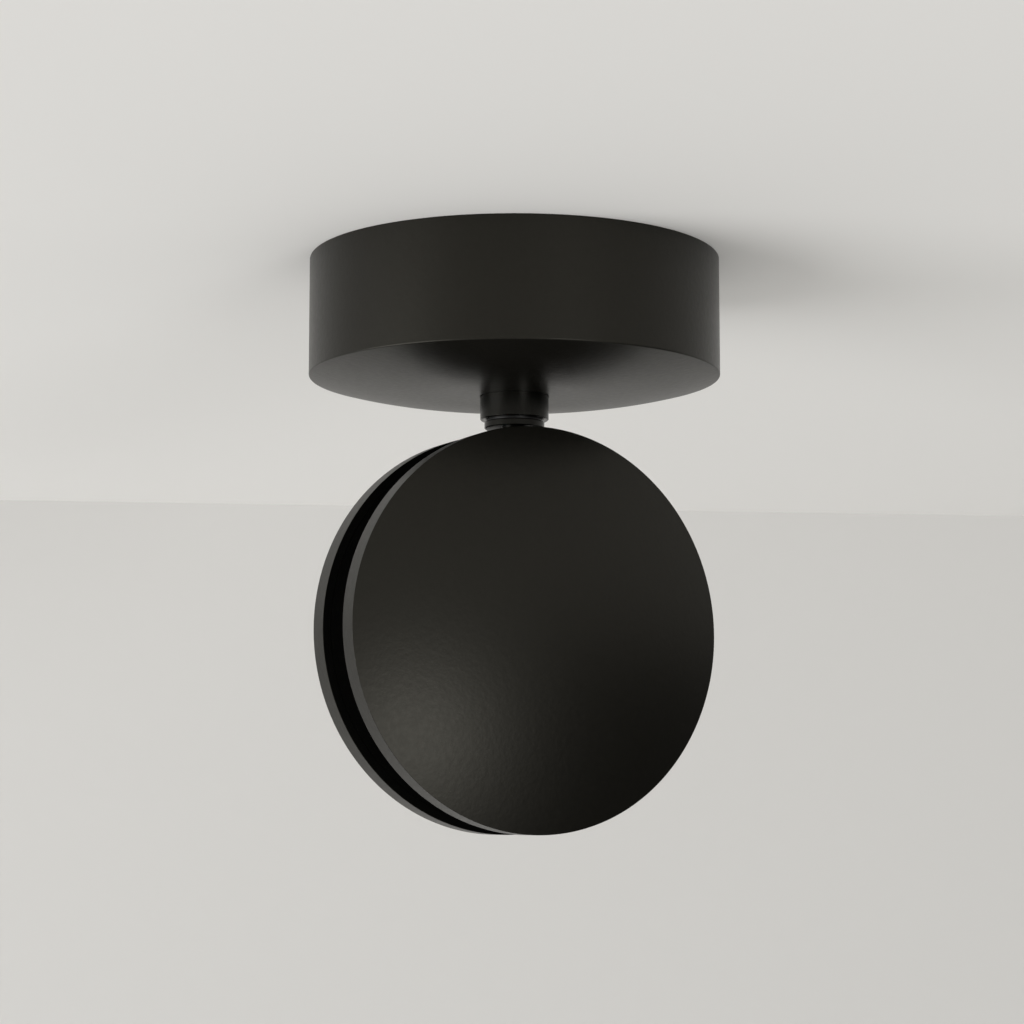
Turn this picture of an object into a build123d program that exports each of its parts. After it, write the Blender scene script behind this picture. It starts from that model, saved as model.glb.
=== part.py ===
from build123d import *
import os
from math import cos, degrees, radians, sin, sqrt

os.makedirs("parts", exist_ok=True)

# Ceiling lamp: a round canopy, a swivel neck and a head of two domed discs with a light gap between them.
# Millimetres. The origin is the centre of the ceiling plane, +Z is up, and the front disc faces -Y.

# Clearances
fit_gap = 0.05                  # round fits that are screwed or pressed together
run_gap = 0.1                   # swivel stem in the neck
slip_gap = 0.3                  # holes that a piece passes through freely
stop_gap = 0.4                  # stop tab and pin inside the neck

# Canopy
canopy_diameter = 120.0
canopy_height = 34.5
canopy_wall = 2.0
canopy_floor = 3.0              # left above the collar's recess
canopy_edge_radius = 0.4
underside_rise = 5.6            # from the wall's lower edge to the seat in the middle of the underside
seat_diameter = 40.0

# Ceiling bracket
bracket_end_gap = 8.0           # from the bracket's ends to the canopy wall
bracket_width = 25.0
bracket_thickness = 2.0
bracket_drop = 14.0             # from the ceiling to the top of the middle plate
bracket_bend_radius = 3.0
bracket_leg_run = 4.0           # sideways run of each sloping leg
slot_width = 5.2
slot_margin = 6.0               # metal left at both ends of a slot

# Nipple tube and its nuts
nipple_diameter = 10.0
nipple_bore = 7.0
nipple_proud = 0.8              # thread standing out of the top nut
nut_flats = 14.0
nut_thickness = 3.0
lock_washer_diameter = 16.0
lock_washer_thickness = 1.0
bush_flange_diameter = 9.0
bush_flange_thickness = 0.8
bush_depth = 4.0

# Terminal block
terminal_pitch = 10.0
terminal_poles = 3
terminal_depth = 18.0
terminal_gap = 6.5              # from the bracket's edge to the block
terminal_floor_gap = 3.5        # from the block to the canopy floor
terminal_wire_level = 5.5       # wire axis above the block's lower face
clamp_side = 5.0
clamp_recess = 2.0              # from the block's faces to the clamp's ends
clamp_bore = 3.0
terminal_screw_head = 4.0
terminal_screw_spread = 4.0     # from the block's middle to each screw
terminal_screw_inset = 0.6      # heads below the block's lower face
small_thread = 3.0
fixing_head = 5.4
fixing_head_height = 2.0
tab_width = 18.0
tab_inset = 1.0

# Earth connection
earth_gap = 2.0                 # from the lock washer to the eyelet
earth_inset = 6.0               # from the end of the middle plate
earth_thread = 4.0
earth_head_diameter = 7.0
earth_head_height = 2.4
earth_washer_thickness = 0.6
earth_proud = 1.0
eyelet_diameter = 8.0
eyelet_thickness = 0.8
barrel_diameter = 3.4
barrel_length = 6.0
barrel_angle = -65.0

# LED driver
driver_length = 66.0
driver_gap = 3.5                # from the bracket's edge
driver_wall_gap = 3.0           # from the driver's corners to the canopy wall
driver_headroom = 11.5          # from the ceiling, room for the output lead's arch
driver_wall = 1.5
driver_corner = 2.0
driver_lid_lip = 2.0
driver_pad_thickness = 1.0
driver_pad_inset = 3.0
board_thickness = 1.6
board_gap = 0.5
board_rail_height = 3.0
board_rail_width = 2.0
component_gap = 2.0             # from the tallest component to the lid
transformer_length = 18.0
transformer_margin = 4.0
transformer_place = 16.0
capacitor_diameter = 8.0
capacitor_places = (-24.0, -14.0)

# Wires
wire_diameter = 2.3
wire_bend = 6.0
supply_turn_terminal = 10.0     # from the terminal clamps to the supply wires' first turn
supply_turn_driver = 12.0       # from their second turn to the driver
earth_bend = 5.0
earth_run = 6.0                 # straight runs at the earth wire's ends
supply_entry = 14.0             # first supply hole of the driver, from its middle
supply_entry_pitch = 8.0
supply_inside = 3.0             # wire ends inside the driver
cable_diameter = 2.6
cable_bend = 6.5
cable_ceiling_gap = 1.3
core_diameter = 1.2
core_spread = 0.7
core_inner_bend = 2.0
core_outer_bend = 3.5

# Neck
collar_diameter = 20.0
collar_length = 12.6            # with the part let into the canopy
collar_wall = 2.0
collar_lip = 2.4
collar_chamfer = 0.3
adaptor_thickness = 4.5
nipple_setback = 0.4            # nipple end above the adaptor's lower face
stop_pin_diameter = 2.0
stop_pin_reach = 3.0
friction_washer_thickness = 0.5
lower_washer_diameter = 16.0
upper_washer_diameter = 14.0
spring_diameter = 12.0
spring_thickness = 0.4
spring_rise = 0.9
stem_diameter = 7.0
stem_bore = 4.2
stem_nut_thickness = 3.0
stem_proud = 0.5
stop_tab_width = 3.0
ring_diameter = 17.5
ring_thickness = 2.1
ring_chamfer = 0.3

# Head
ring_to_disc = 1.4
disc_diameter = 116.0
rim_width = 6.7
light_gap = 13.8
dome_rise = 8.0
shell_wall = 2.5
shell_ledge = 1.5
rim_edge_radius = 0.4
head_offset = 2.2               # middle of the light gap in front of the swivel axis
plate_thickness = 3.0
plate_screw_circle = 44.0
plate_screw_head = 6.0
plate_screw_length = 6.0
hub_diameter = 60.0
hub_window_diameter = 12.0
hub_window_circle = 34.0
stem_depth = 15.0
grub_thread = 4.0
grub_setback = 0.4
diffuser_diameter = 86.0
diffuser_wall = 2.0
groove_depth = 1.0
strip_thickness = 0.4
strip_margin = 1.9              # from the strip's edges to the plates
strip_opening = 12.0            # left free for the stem
chip_count = 24
chip_length = 3.5
chip_width = 2.8
chip_height = 0.7
cable_port = 4.0

# Heights of the fixed part
canopy_radius = canopy_diameter / 2
canopy_inner_radius = canopy_radius - canopy_wall
canopy_bottom = -canopy_height
floor_top = canopy_bottom + canopy_floor
seat_level = canopy_bottom - underside_rise
plate_top = -bracket_drop
plate_bottom = plate_top - bracket_thickness
nipple_top = plate_top + nut_thickness + nipple_proud
adaptor_bottom = canopy_bottom - adaptor_thickness
nipple_bottom = adaptor_bottom + nipple_setback
collar_bottom = canopy_bottom - collar_length
lip_top = collar_bottom + collar_lip
collar_inner_diameter = collar_diameter - 2 * collar_wall

# Heights of the moving part
ring_top = collar_bottom - friction_washer_thickness
ring_bottom = ring_top - ring_thickness
spring_bottom = lip_top + friction_washer_thickness
stem_nut_bottom = spring_bottom + spring_rise
stem_nut_top = stem_nut_bottom + stem_nut_thickness
stem_top = stem_nut_top + stem_proud
cable_joint = (stem_top + adaptor_bottom) / 2
disc_radius = disc_diameter / 2
head_height = ring_bottom - ring_to_disc - disc_radius
head_centre = Vector(0, -head_offset, head_height)
head_axis = Axis(head_centre, (0, 1, 0))
gap_half = light_gap / 2
hub_radius = hub_diameter / 2
diffuser_radius = diffuser_diameter / 2
stem_bottom = head_height + hub_radius - stem_depth
port_height = head_height + (hub_radius + diffuser_radius - diffuser_wall) / 2

# Lengthwise places along the bracket
bracket_half = canopy_inner_radius - bracket_end_gap
earth_place = -(lock_washer_diameter / 2 + earth_gap + eyelet_diameter / 2)
plate_half = earth_inset - earth_place
leg_top = plate_half + bracket_leg_run
slot_length = bracket_half - leg_top - 2 * slot_margin
slot_place = bracket_half - slot_margin - slot_length / 2
terminal_place = plate_half - tab_inset - tab_width / 2

# Terminal block and driver places
terminal_length = terminal_poles * terminal_pitch
terminal_near = -bracket_width / 2 - terminal_gap
terminal_middle = terminal_near - terminal_depth / 2
terminal_bottom = floor_top + terminal_floor_gap
wire_level = terminal_bottom + terminal_wire_level
pole_places = [terminal_place + (n - (terminal_poles - 1) / 2) * terminal_pitch for n in range(terminal_poles)]
fixing_place = terminal_place + terminal_pitch / 2
driver_near = bracket_width / 2 + driver_gap
driver_far = sqrt((canopy_inner_radius - driver_wall_gap) ** 2 - (driver_length / 2) ** 2)
driver_depth = driver_far - driver_near
driver_middle = (driver_near + driver_far) / 2
driver_bottom = floor_top + driver_pad_thickness
driver_top = -driver_headroom
board_bottom = driver_bottom + driver_wall + board_rail_height
board_top = board_bottom + board_thickness
board_length = driver_length - 2 * (driver_wall + board_gap)
board_depth = driver_depth - 2 * (driver_wall + board_gap)
lid_bottom = driver_top - driver_wall


def ring_piece(outer, inner, bottom, top):
    """Round ring about the vertical axis between two heights."""
    with BuildPart() as ring:
        with BuildSketch(Plane.XY.offset(bottom)):
            Circle(outer / 2)
            Circle(inner / 2, mode=Mode.SUBTRACT)
        extrude(amount=top - bottom)
    return ring


def wire_piece(routes, bends, diameter):
    """Round wires, each along straight runs joined by tangent arcs."""
    with BuildPart() as wire:
        for points in routes:
            with BuildLine() as route:
                FilletPolyline(*points, radius=bends)
            path = route.wires()[0]
            with BuildSketch(Plane(origin=path @ 0, z_dir=path % 0)):
                Circle(diameter / 2)
            sweep(path=path)
    return wire


def head_plane(side):
    """Half-section plane of the head: x runs outwards, y away from the middle of the light gap."""
    return Plane(origin=head_centre, x_dir=(1, 0, 0), z_dir=(0, 0, side))


def face_plane(side, distance):
    """Plane square to the head's axis, seen from outside, at a distance from the middle of the gap."""
    return Plane(origin=head_centre + Vector(0, side * distance, 0), x_dir=(-side, 0, 0), z_dir=(0, side, 0))


front, rear = -1, 1

# Canopy cup, open towards the ceiling: its underside swells down to a flat seat, where the collar is let in
with BuildPart() as canopy_shell:
    tube_hole = nipple_diameter / 2 + slip_gap
    recess_radius = collar_diameter / 2 + fit_gap
    with BuildSketch(Plane.XZ) as canopy_section:
        with BuildLine():
            underside = TangentArc(
                (seat_diameter / 2, seat_level),
                (canopy_radius, canopy_bottom),
                tangent=(1, 0),
            )
            Polyline(
                underside @ 1,
                (canopy_radius, 0),
                (canopy_inner_radius, 0),
                (canopy_inner_radius, floor_top),
                (tube_hole, floor_top),
                (tube_hole, canopy_bottom),
                (recess_radius, canopy_bottom),
                (recess_radius, seat_level),
                underside @ 0,
            )
        make_face()
        lower_edge = canopy_section.vertices().group_by(Axis.X)[-1].sort_by(Axis.Y)[0]
        fillet(lower_edge, radius=canopy_edge_radius)
    revolve(axis=Axis.Z)

# Bent crossbar with a tab that carries the terminal block
with BuildPart() as ceiling_bracket:
    foot_middle = -bracket_thickness / 2
    plate_middle = plate_top - bracket_thickness / 2
    with BuildSketch(Plane.XZ.offset(-bracket_width / 2)):
        with BuildLine() as bar:
            FilletPolyline(
                (-bracket_half, foot_middle),
                (-leg_top, foot_middle),
                (-plate_half, plate_middle),
                (plate_half, plate_middle),
                (leg_top, foot_middle),
                (bracket_half, foot_middle),
                radius=bracket_bend_radius,
            )
        trace(line_width=bracket_thickness)
    extrude(amount=bracket_width)
    tab_end = terminal_middle - terminal_depth / 2
    with BuildSketch(Plane.XY.offset(plate_bottom)):
        with Locations((terminal_place, tab_end / 2)):
            Rectangle(tab_width, -tab_end)
    extrude(amount=bracket_thickness)
    with BuildSketch(Plane.XY):
        with Locations((-slot_place, 0), (slot_place, 0)):
            SlotOverall(slot_length, slot_width)
    extrude(amount=-bracket_thickness, mode=Mode.SUBTRACT)
    with Locations((0, 0, plate_top)):
        Hole(radius=nipple_diameter / 2 + fit_gap)
    with Locations((earth_place, 0, plate_top)):
        Hole(radius=earth_thread / 2 + fit_gap)
    with Locations((fixing_place, terminal_middle, plate_top)):
        Hole(radius=small_thread / 2 + fit_gap)

# Threaded tube, its nuts and washer, and the bush in its upper end
nipple_tube = ring_piece(nipple_diameter, nipple_bore, nipple_bottom, nipple_top)
lock_washer = ring_piece(
    lock_washer_diameter, nipple_diameter + 2 * fit_gap, plate_bottom - lock_washer_thickness, plate_bottom
)

with BuildPart() as bracket_nuts:
    for nut_bottom in (plate_top, plate_bottom - lock_washer_thickness - nut_thickness):
        with BuildSketch(Plane.XY.offset(nut_bottom)):
            RegularPolygon(nut_flats / 2, 6, major_radius=False)
            Circle(nipple_diameter / 2 + fit_gap, mode=Mode.SUBTRACT)
        extrude(amount=nut_thickness)

with BuildPart() as nipple_bush:
    with BuildSketch(Plane.XY.offset(nipple_top - bush_depth)):
        Circle(nipple_bore / 2 - fit_gap)
    extrude(amount=bush_depth)
    with BuildSketch(Plane.XY.offset(nipple_top)):
        Circle(bush_flange_diameter / 2)
    extrude(amount=bush_flange_thickness)
    fillet(nipple_bush.edges().group_by(Axis.Z)[-1], radius=bush_flange_thickness / 2)
    with Locations((0, 0, nipple_top)):
        Hole(radius=cable_diameter / 2 + slip_gap / 2)

# Terminal block under the bracket's tab
with BuildPart() as terminal_block:
    with BuildSketch(Plane.XY.offset(terminal_bottom)):
        with Locations((terminal_place, terminal_middle)):
            Rectangle(terminal_length, terminal_depth)
    extrude(amount=plate_bottom - terminal_bottom)
    with BuildSketch(Plane.XZ.offset(-terminal_near)):
        for pole in pole_places:
            with Locations((pole, wire_level)):
                Rectangle(clamp_side + 2 * fit_gap, clamp_side + 2 * fit_gap)
    extrude(amount=terminal_depth, mode=Mode.SUBTRACT)
    with BuildSketch(Plane.XY.offset(terminal_bottom)):
        for pole in pole_places:
            with Locations((pole, terminal_middle)):
                with GridLocations(0, 2 * terminal_screw_spread, 1, 2):
                    Circle(terminal_screw_head / 2 + fit_gap)
    extrude(amount=terminal_wire_level, mode=Mode.SUBTRACT)
    with Locations(Plane.XY.offset(terminal_bottom)):
        with Locations(Location((fixing_place, terminal_middle, 0), (180, 0, 0))):
            CounterBoreHole(
                radius=small_thread / 2 + fit_gap,
                counter_bore_radius=fixing_head / 2 + fit_gap,
                counter_bore_depth=fixing_head_height + fit_gap,
            )

with BuildPart() as terminal_clamps:
    with BuildSketch(Plane.XZ.offset(clamp_recess - terminal_near)):
        for pole in pole_places:
            with Locations((pole, wire_level)):
                Rectangle(clamp_side, clamp_side)
                Circle(clamp_bore / 2, mode=Mode.SUBTRACT)
    extrude(amount=terminal_depth - 2 * clamp_recess)
    with BuildSketch(Plane.XY.offset(wire_level - clamp_side / 2)):
        for pole in pole_places:
            with Locations((pole, terminal_middle)):
                with GridLocations(0, 2 * terminal_screw_spread, 1, 2):
                    Circle(small_thread / 2 + fit_gap)
    extrude(amount=clamp_side / 2, mode=Mode.SUBTRACT)

clamp_bottom = wire_level - clamp_side / 2
screw_head_bottom = terminal_bottom + terminal_screw_inset
with BuildPart() as terminal_screws:
    for pole in pole_places:
        with BuildSketch(Plane.XY.offset(screw_head_bottom)):
            with Locations((pole, terminal_middle)):
                with GridLocations(0, 2 * terminal_screw_spread, 1, 2):
                    Circle(terminal_screw_head / 2)
        extrude(amount=clamp_bottom - screw_head_bottom)
        with BuildSketch(Plane.XY.offset(clamp_bottom)):
            with Locations((pole, terminal_middle)):
                with GridLocations(0, 2 * terminal_screw_spread, 1, 2):
                    Circle(small_thread / 2)
        extrude(amount=(clamp_side - clamp_bore) / 2)
    with BuildSketch(Plane.XY.offset(screw_head_bottom)):
        for pole in pole_places:
            with Locations((pole, terminal_middle)):
                with GridLocations(0, 2 * terminal_screw_spread, 1, 2):
                    Rectangle(terminal_screw_head, terminal_screw_inset)
    extrude(amount=terminal_screw_inset, mode=Mode.SUBTRACT)

with BuildPart() as terminal_fixing_screw:
    with BuildSketch(Plane.XY.offset(terminal_bottom)):
        with Locations((fixing_place, terminal_middle)):
            Circle(fixing_head / 2)
            Rectangle(fixing_head, terminal_screw_inset, mode=Mode.SUBTRACT)
    extrude(amount=fixing_head_height / 2)
    with BuildSketch(Plane.XY.offset(terminal_bottom + fixing_head_height / 2)):
        with Locations((fixing_place, terminal_middle)):
            Circle(fixing_head / 2)
    extrude(amount=fixing_head_height / 2)
    with BuildSketch(Plane.XY.offset(terminal_bottom + fixing_head_height)):
        with Locations((fixing_place, terminal_middle)):
            Circle(small_thread / 2)
    extrude(amount=plate_top - terminal_bottom - fixing_head_height)

# Earth screw with its toothed washer and the eyelet of the earth wire
eyelet_bottom = plate_bottom - eyelet_thickness
earth_washer_bottom = eyelet_bottom - earth_washer_thickness
barrel_axis = plate_bottom - barrel_diameter / 2
barrel_start = earth_head_diameter / 2 + slip_gap
barrel_direction = Vector(cos(radians(barrel_angle)), sin(radians(barrel_angle)), 0)
earth_centre = Vector(earth_place, 0, barrel_axis)
barrel_mouth = earth_centre + barrel_direction * (barrel_start + barrel_length)

with BuildPart() as earth_eyelet:
    with BuildSketch(Plane.XY.offset(eyelet_bottom)):
        with Locations((earth_place, 0)):
            Circle(eyelet_diameter / 2)
    extrude(amount=eyelet_thickness)
    with BuildSketch(Plane(origin=barrel_mouth, z_dir=-barrel_direction)):
        Circle(barrel_diameter / 2)
    extrude(amount=barrel_length)
    with BuildSketch(Plane(origin=barrel_mouth, z_dir=-barrel_direction)):
        Circle(wire_diameter / 2 + fit_gap)
    extrude(amount=barrel_length, mode=Mode.SUBTRACT)
    with Locations((earth_place, 0, plate_bottom)):
        Hole(radius=earth_thread / 2 + fit_gap)

with BuildPart() as earth_washer:
    with BuildSketch(Plane.XY.offset(earth_washer_bottom)):
        with Locations((earth_place, 0)):
            Circle(earth_head_diameter / 2)
            Circle(earth_thread / 2 + fit_gap, mode=Mode.SUBTRACT)
            with PolarLocations(earth_head_diameter / 2, 8):
                Circle(earth_washer_thickness, mode=Mode.SUBTRACT)
    extrude(amount=earth_washer_thickness)

with BuildPart() as earth_screw:
    with BuildSketch(Plane.XY.offset(earth_washer_bottom - earth_head_height)):
        with Locations((earth_place, 0)):
            Circle(earth_head_diameter / 2)
    extrude(amount=earth_head_height)
    fillet(earth_screw.edges().group_by(Axis.Z)[0], radius=earth_head_height / 3)
    with BuildSketch(Plane.XY.offset(earth_washer_bottom - earth_head_height)):
        with Locations((earth_place, 0)):
            Rectangle(earth_head_diameter, earth_washer_thickness * 2)
            Rectangle(earth_washer_thickness * 2, earth_head_diameter)
    extrude(amount=earth_head_height / 2, mode=Mode.SUBTRACT)
    with BuildSketch(Plane.XY.offset(earth_washer_bottom)):
        with Locations((earth_place, 0)):
            Circle(earth_thread / 2)
    extrude(amount=plate_top + earth_proud - earth_washer_bottom)

# LED driver: tray, lid, board with its tall components, and the foam pad below
supply_places = (supply_entry, supply_entry + supply_entry_pitch)
with BuildPart() as driver_case:
    with BuildSketch(Plane.XY.offset(driver_bottom)):
        with Locations((0, driver_middle)):
            RectangleRounded(driver_length, driver_depth, driver_corner)
    extrude(amount=lid_bottom - driver_bottom)
    with BuildSketch(Plane.XY.offset(driver_bottom + driver_wall)):
        with Locations((0, driver_middle)):
            Rectangle(driver_length - 2 * driver_wall, driver_depth - 2 * driver_wall)
    extrude(amount=lid_bottom - driver_bottom - driver_wall, mode=Mode.SUBTRACT)
    with BuildSketch(Plane.XY.offset(driver_bottom + driver_wall)):
        with Locations((0, driver_middle)):
            with GridLocations(board_length - board_rail_width, 0, 2, 1):
                Rectangle(board_rail_width, driver_depth - 2 * driver_wall)
    extrude(amount=board_rail_height)
    with BuildSketch(Plane.XZ.offset(-driver_near)):
        for place in supply_places:
            with Locations((place, wire_level)):
                Circle(wire_diameter / 2 + slip_gap / 2)
    extrude(amount=-driver_wall, mode=Mode.SUBTRACT)

with BuildPart() as driver_cover:
    with BuildSketch(Plane.XY.offset(lid_bottom)):
        with Locations((0, driver_middle)):
            RectangleRounded(driver_length, driver_depth, driver_corner)
    extrude(amount=driver_wall)
    lip_length = driver_length - 2 * (driver_wall + fit_gap)
    lip_depth = driver_depth - 2 * (driver_wall + fit_gap)
    with BuildSketch(Plane.XY.offset(lid_bottom - driver_lid_lip)):
        with Locations((0, driver_middle)):
            Rectangle(lip_length, lip_depth)
            Rectangle(lip_length - 2 * driver_wall, lip_depth - 2 * driver_wall, mode=Mode.SUBTRACT)
    extrude(amount=driver_lid_lip)
    with Locations((0, driver_middle, driver_top)):
        Hole(radius=cable_diameter / 2 + slip_gap / 2)

with BuildPart() as driver_board:
    with BuildSketch(Plane.XY.offset(board_bottom)):
        with Locations((0, driver_middle)):
            Rectangle(board_length, board_depth)
    extrude(amount=board_thickness)

component_height = lid_bottom - component_gap - board_top
with BuildPart() as driver_components:
    with BuildSketch(Plane.XY.offset(board_top)):
        with Locations((transformer_place, driver_middle + transformer_margin / 2)):
            Rectangle(transformer_length, board_depth - 2 * transformer_margin)
        for place in capacitor_places:
            with Locations((place, driver_middle)):
                Circle(capacitor_diameter / 2)
    extrude(amount=component_height)
    fillet(driver_components.edges().group_by(Axis.Z)[-1], radius=board_gap)

with BuildPart() as driver_pad:
    with BuildSketch(Plane.XY.offset(floor_top)):
        with Locations((0, driver_middle)):
            Rectangle(driver_length - 2 * driver_pad_inset, driver_depth - 2 * driver_pad_inset)
    extrude(amount=driver_pad_thickness)

# Wiring inside the canopy
clamp_end = terminal_near - clamp_recess


def supply_route(pole, entry):
    """From a terminal clamp under the bracket to a hole in the driver's wall."""
    return [
        (pole, clamp_end, wire_level),
        (pole, clamp_end + supply_turn_terminal, wire_level),
        (entry, driver_near - supply_turn_driver, wire_level),
        (entry, driver_near + driver_wall + supply_inside, wire_level),
    ]


earth_pole, neutral_pole, live_pole = pole_places
neutral_lead = wire_piece([supply_route(neutral_pole, supply_places[0])], wire_bend, wire_diameter)
live_lead = wire_piece([supply_route(live_pole, supply_places[1])], wire_bend, wire_diameter)

earth_lead = wire_piece(
    [[
        (earth_pole, clamp_end, wire_level),
        (earth_pole, clamp_end + earth_run, wire_level),
        barrel_mouth + barrel_direction * earth_run,
        barrel_mouth - barrel_direction * barrel_length / 2,
    ]],
    earth_bend,
    wire_diameter,
)

arch_level = -cable_ceiling_gap - cable_diameter / 2
output_lead = wire_piece(
    [[
        (0, driver_middle, lid_bottom - component_gap / 2),
        (0, driver_middle, arch_level),
        (0, 0, arch_level),
        (0, 0, cable_joint),
    ]],
    cable_bend,
    cable_diameter,
)

# Neck: adaptor on the nipple tube, collar around it, stop pin and friction washers
stop_pin_circle = (nipple_diameter + collar_inner_diameter) / 2
with BuildPart() as adaptor_bush:
    with BuildSketch(Plane.XY.offset(adaptor_bottom)):
        Circle(collar_inner_diameter / 2 - fit_gap)
        Circle(nipple_diameter / 2 + fit_gap, mode=Mode.SUBTRACT)
        with Locations((0, -stop_pin_circle / 2)):
            Circle(stop_pin_diameter / 2 + fit_gap, mode=Mode.SUBTRACT)
    extrude(amount=adaptor_thickness)

with BuildPart() as stop_pin:
    with BuildSketch(Plane.XY.offset(adaptor_bottom - stop_pin_reach)):
        with Locations((0, -stop_pin_circle / 2)):
            Circle(stop_pin_diameter / 2)
    extrude(amount=stop_pin_reach + adaptor_thickness)

with BuildPart() as neck_collar:
    with BuildSketch(Plane.XY.offset(collar_bottom)):
        Circle(collar_diameter / 2)
    extrude(amount=collar_length)
    chamfer(neck_collar.edges().group_by(Axis.Z)[0], length=collar_chamfer)
    with BuildSketch(Plane.XY.offset(lip_top)):
        Circle(collar_inner_diameter / 2)
    extrude(amount=collar_length - collar_lip, mode=Mode.SUBTRACT)
    with Locations((0, 0, lip_top)):
        Hole(radius=stem_diameter / 2 + run_gap)

washer_bore = stem_diameter + 2 * run_gap
lower_friction_washer = ring_piece(lower_washer_diameter, washer_bore, ring_top, collar_bottom)
upper_friction_washer = ring_piece(upper_washer_diameter, washer_bore, lip_top, spring_bottom)

# Swivel stem with its ring, and the nut and spring that hold it in the collar
with BuildPart() as swivel_stem:
    with BuildSketch(Plane.XY.offset(stem_bottom)):
        Circle(stem_diameter / 2)
    extrude(amount=stem_top - stem_bottom)
    with BuildSketch(Plane.XY.offset(ring_bottom)):
        Circle(ring_diameter / 2)
    extrude(amount=ring_thickness)
    ring_edges = swivel_stem.edges().filter_by(GeomType.CIRCLE)
    chamfer(ring_edges.filter_by(lambda edge: edge.radius > stem_diameter), length=ring_chamfer)
    with Locations((0, 0, stem_top)):
        Hole(radius=stem_bore / 2)
    with BuildSketch(Plane.YZ):
        with Locations((0, port_height)):
            Circle(cable_port / 2)
    extrude(amount=stem_diameter, mode=Mode.SUBTRACT)

nut_radius = (stop_pin_circle - stop_pin_diameter) / 2 - stop_gap
tab_reach = collar_inner_diameter / 2 - stop_gap
with BuildPart() as stem_nut:
    with BuildSketch(Plane.XY.offset(stem_nut_bottom)):
        Circle(nut_radius)
        with Locations((0, tab_reach / 2)):
            Rectangle(stop_tab_width, tab_reach)
        Circle(stem_diameter / 2 + fit_gap, mode=Mode.SUBTRACT)
    extrude(amount=stem_nut_thickness)

with BuildPart() as disc_spring:
    spring_inner = stem_diameter / 2 + run_gap
    spring_outer = spring_diameter / 2
    with BuildSketch(Plane.XZ):
        with BuildLine():
            Polyline(
                (spring_inner, stem_nut_bottom - spring_thickness),
                (spring_inner, stem_nut_bottom),
                (spring_outer, spring_bottom + spring_thickness),
                (spring_outer, spring_bottom),
                close=True,
            )
        make_face()
    revolve(axis=Axis.Z)

# Hub on the stem
with BuildPart() as hub:
    with BuildSketch(face_plane(front, gap_half)):
        Circle(hub_radius)
        with PolarLocations(hub_window_circle / 2, 4, start_angle=45):
            Circle(hub_window_diameter / 2, mode=Mode.SUBTRACT)
        with PolarLocations(plate_screw_circle / 2, 3, start_angle=180, angular_range=180, endpoint=True):
            Circle(small_thread / 2 + fit_gap, mode=Mode.SUBTRACT)
    extrude(amount=-light_gap)
    with BuildSketch(Plane.XY.offset(stem_bottom)):
        Circle(stem_diameter / 2 + fit_gap)
    extrude(amount=stem_depth + hub_radius, mode=Mode.SUBTRACT)
    with BuildSketch(face_plane(front, gap_half)):
        with Locations((0, hub_radius - stem_depth / 2)):
            Circle(grub_thread / 2 + fit_gap)
    extrude(amount=-gap_half - head_offset, mode=Mode.SUBTRACT)

grub_start = head_offset + gap_half - grub_setback
with BuildPart() as stem_grub_screw:
    with BuildSketch(Plane.XZ.offset(stem_diameter / 2)):
        with Locations((0, head_height + hub_radius - stem_depth / 2)):
            Circle(grub_thread / 2)
    extrude(amount=grub_start - stem_diameter / 2)
    with BuildSketch(Plane.XZ.offset(grub_start)):
        with Locations((0, head_height + hub_radius - stem_depth / 2)):
            RegularPolygon(grub_thread / 4, 6, major_radius=False)
    extrude(amount=-grub_thread / 2, mode=Mode.SUBTRACT)

# Light source around the hub
strip_radius = hub_radius + strip_thickness
strip_half = gap_half - strip_margin
with BuildPart() as led_strip:
    with BuildSketch(face_plane(front, strip_half)):
        Circle(strip_radius)
        Circle(hub_radius, mode=Mode.SUBTRACT)
        with Locations((0, strip_radius)):
            Rectangle(strip_opening, strip_radius, mode=Mode.SUBTRACT)
    extrude(amount=-2 * strip_half)

chip_opening = degrees(strip_opening / hub_radius)
with BuildPart() as led_chips:
    with BuildSketch(face_plane(front, chip_width / 2)):
        with PolarLocations(
            strip_radius + chip_height / 2,
            chip_count,
            start_angle=90 + chip_opening,
            angular_range=360 - 2 * chip_opening,
            endpoint=True,
        ):
            Rectangle(chip_height, chip_length)
    extrude(amount=-chip_width)

with BuildPart() as diffuser_ring:
    diffuser_half = gap_half + groove_depth - run_gap
    with BuildSketch(face_plane(front, diffuser_half)):
        Circle(diffuser_radius)
        Circle(diffuser_radius - diffuser_wall, mode=Mode.SUBTRACT)
    extrude(amount=-2 * diffuser_half)
    with BuildSketch(Plane.XY.offset(head_height)):
        Circle(stem_diameter / 2 + slip_gap)
    extrude(amount=diffuser_diameter, mode=Mode.SUBTRACT)

head_cable_bottom = port_height + cable_port
with BuildPart() as head_cable:
    with BuildSketch(Plane.XY.offset(head_cable_bottom)):
        Circle(cable_diameter / 2)
    extrude(amount=cable_joint - head_cable_bottom)

pad_place = strip_opening / 2 + core_diameter
pad_height = head_height + sqrt(strip_radius ** 2 - (pad_place - core_diameter / 2) ** 2) + fit_gap
led_leads = wire_piece(
    [
        [
            (0, side * core_spread, head_cable_bottom),
            (0, side * core_spread, port_height),
            (pad_place, side * core_spread, port_height),
            (pad_place, side * core_spread, pad_height),
        ]
        for side in (front, rear)
    ],
    [core_inner_bend, core_outer_bend],
    core_diameter,
)

# Inner plates and the domed shells screwed on their edges
plate_radius = disc_radius - shell_wall
plate_outer_face = gap_half + plate_thickness


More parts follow.
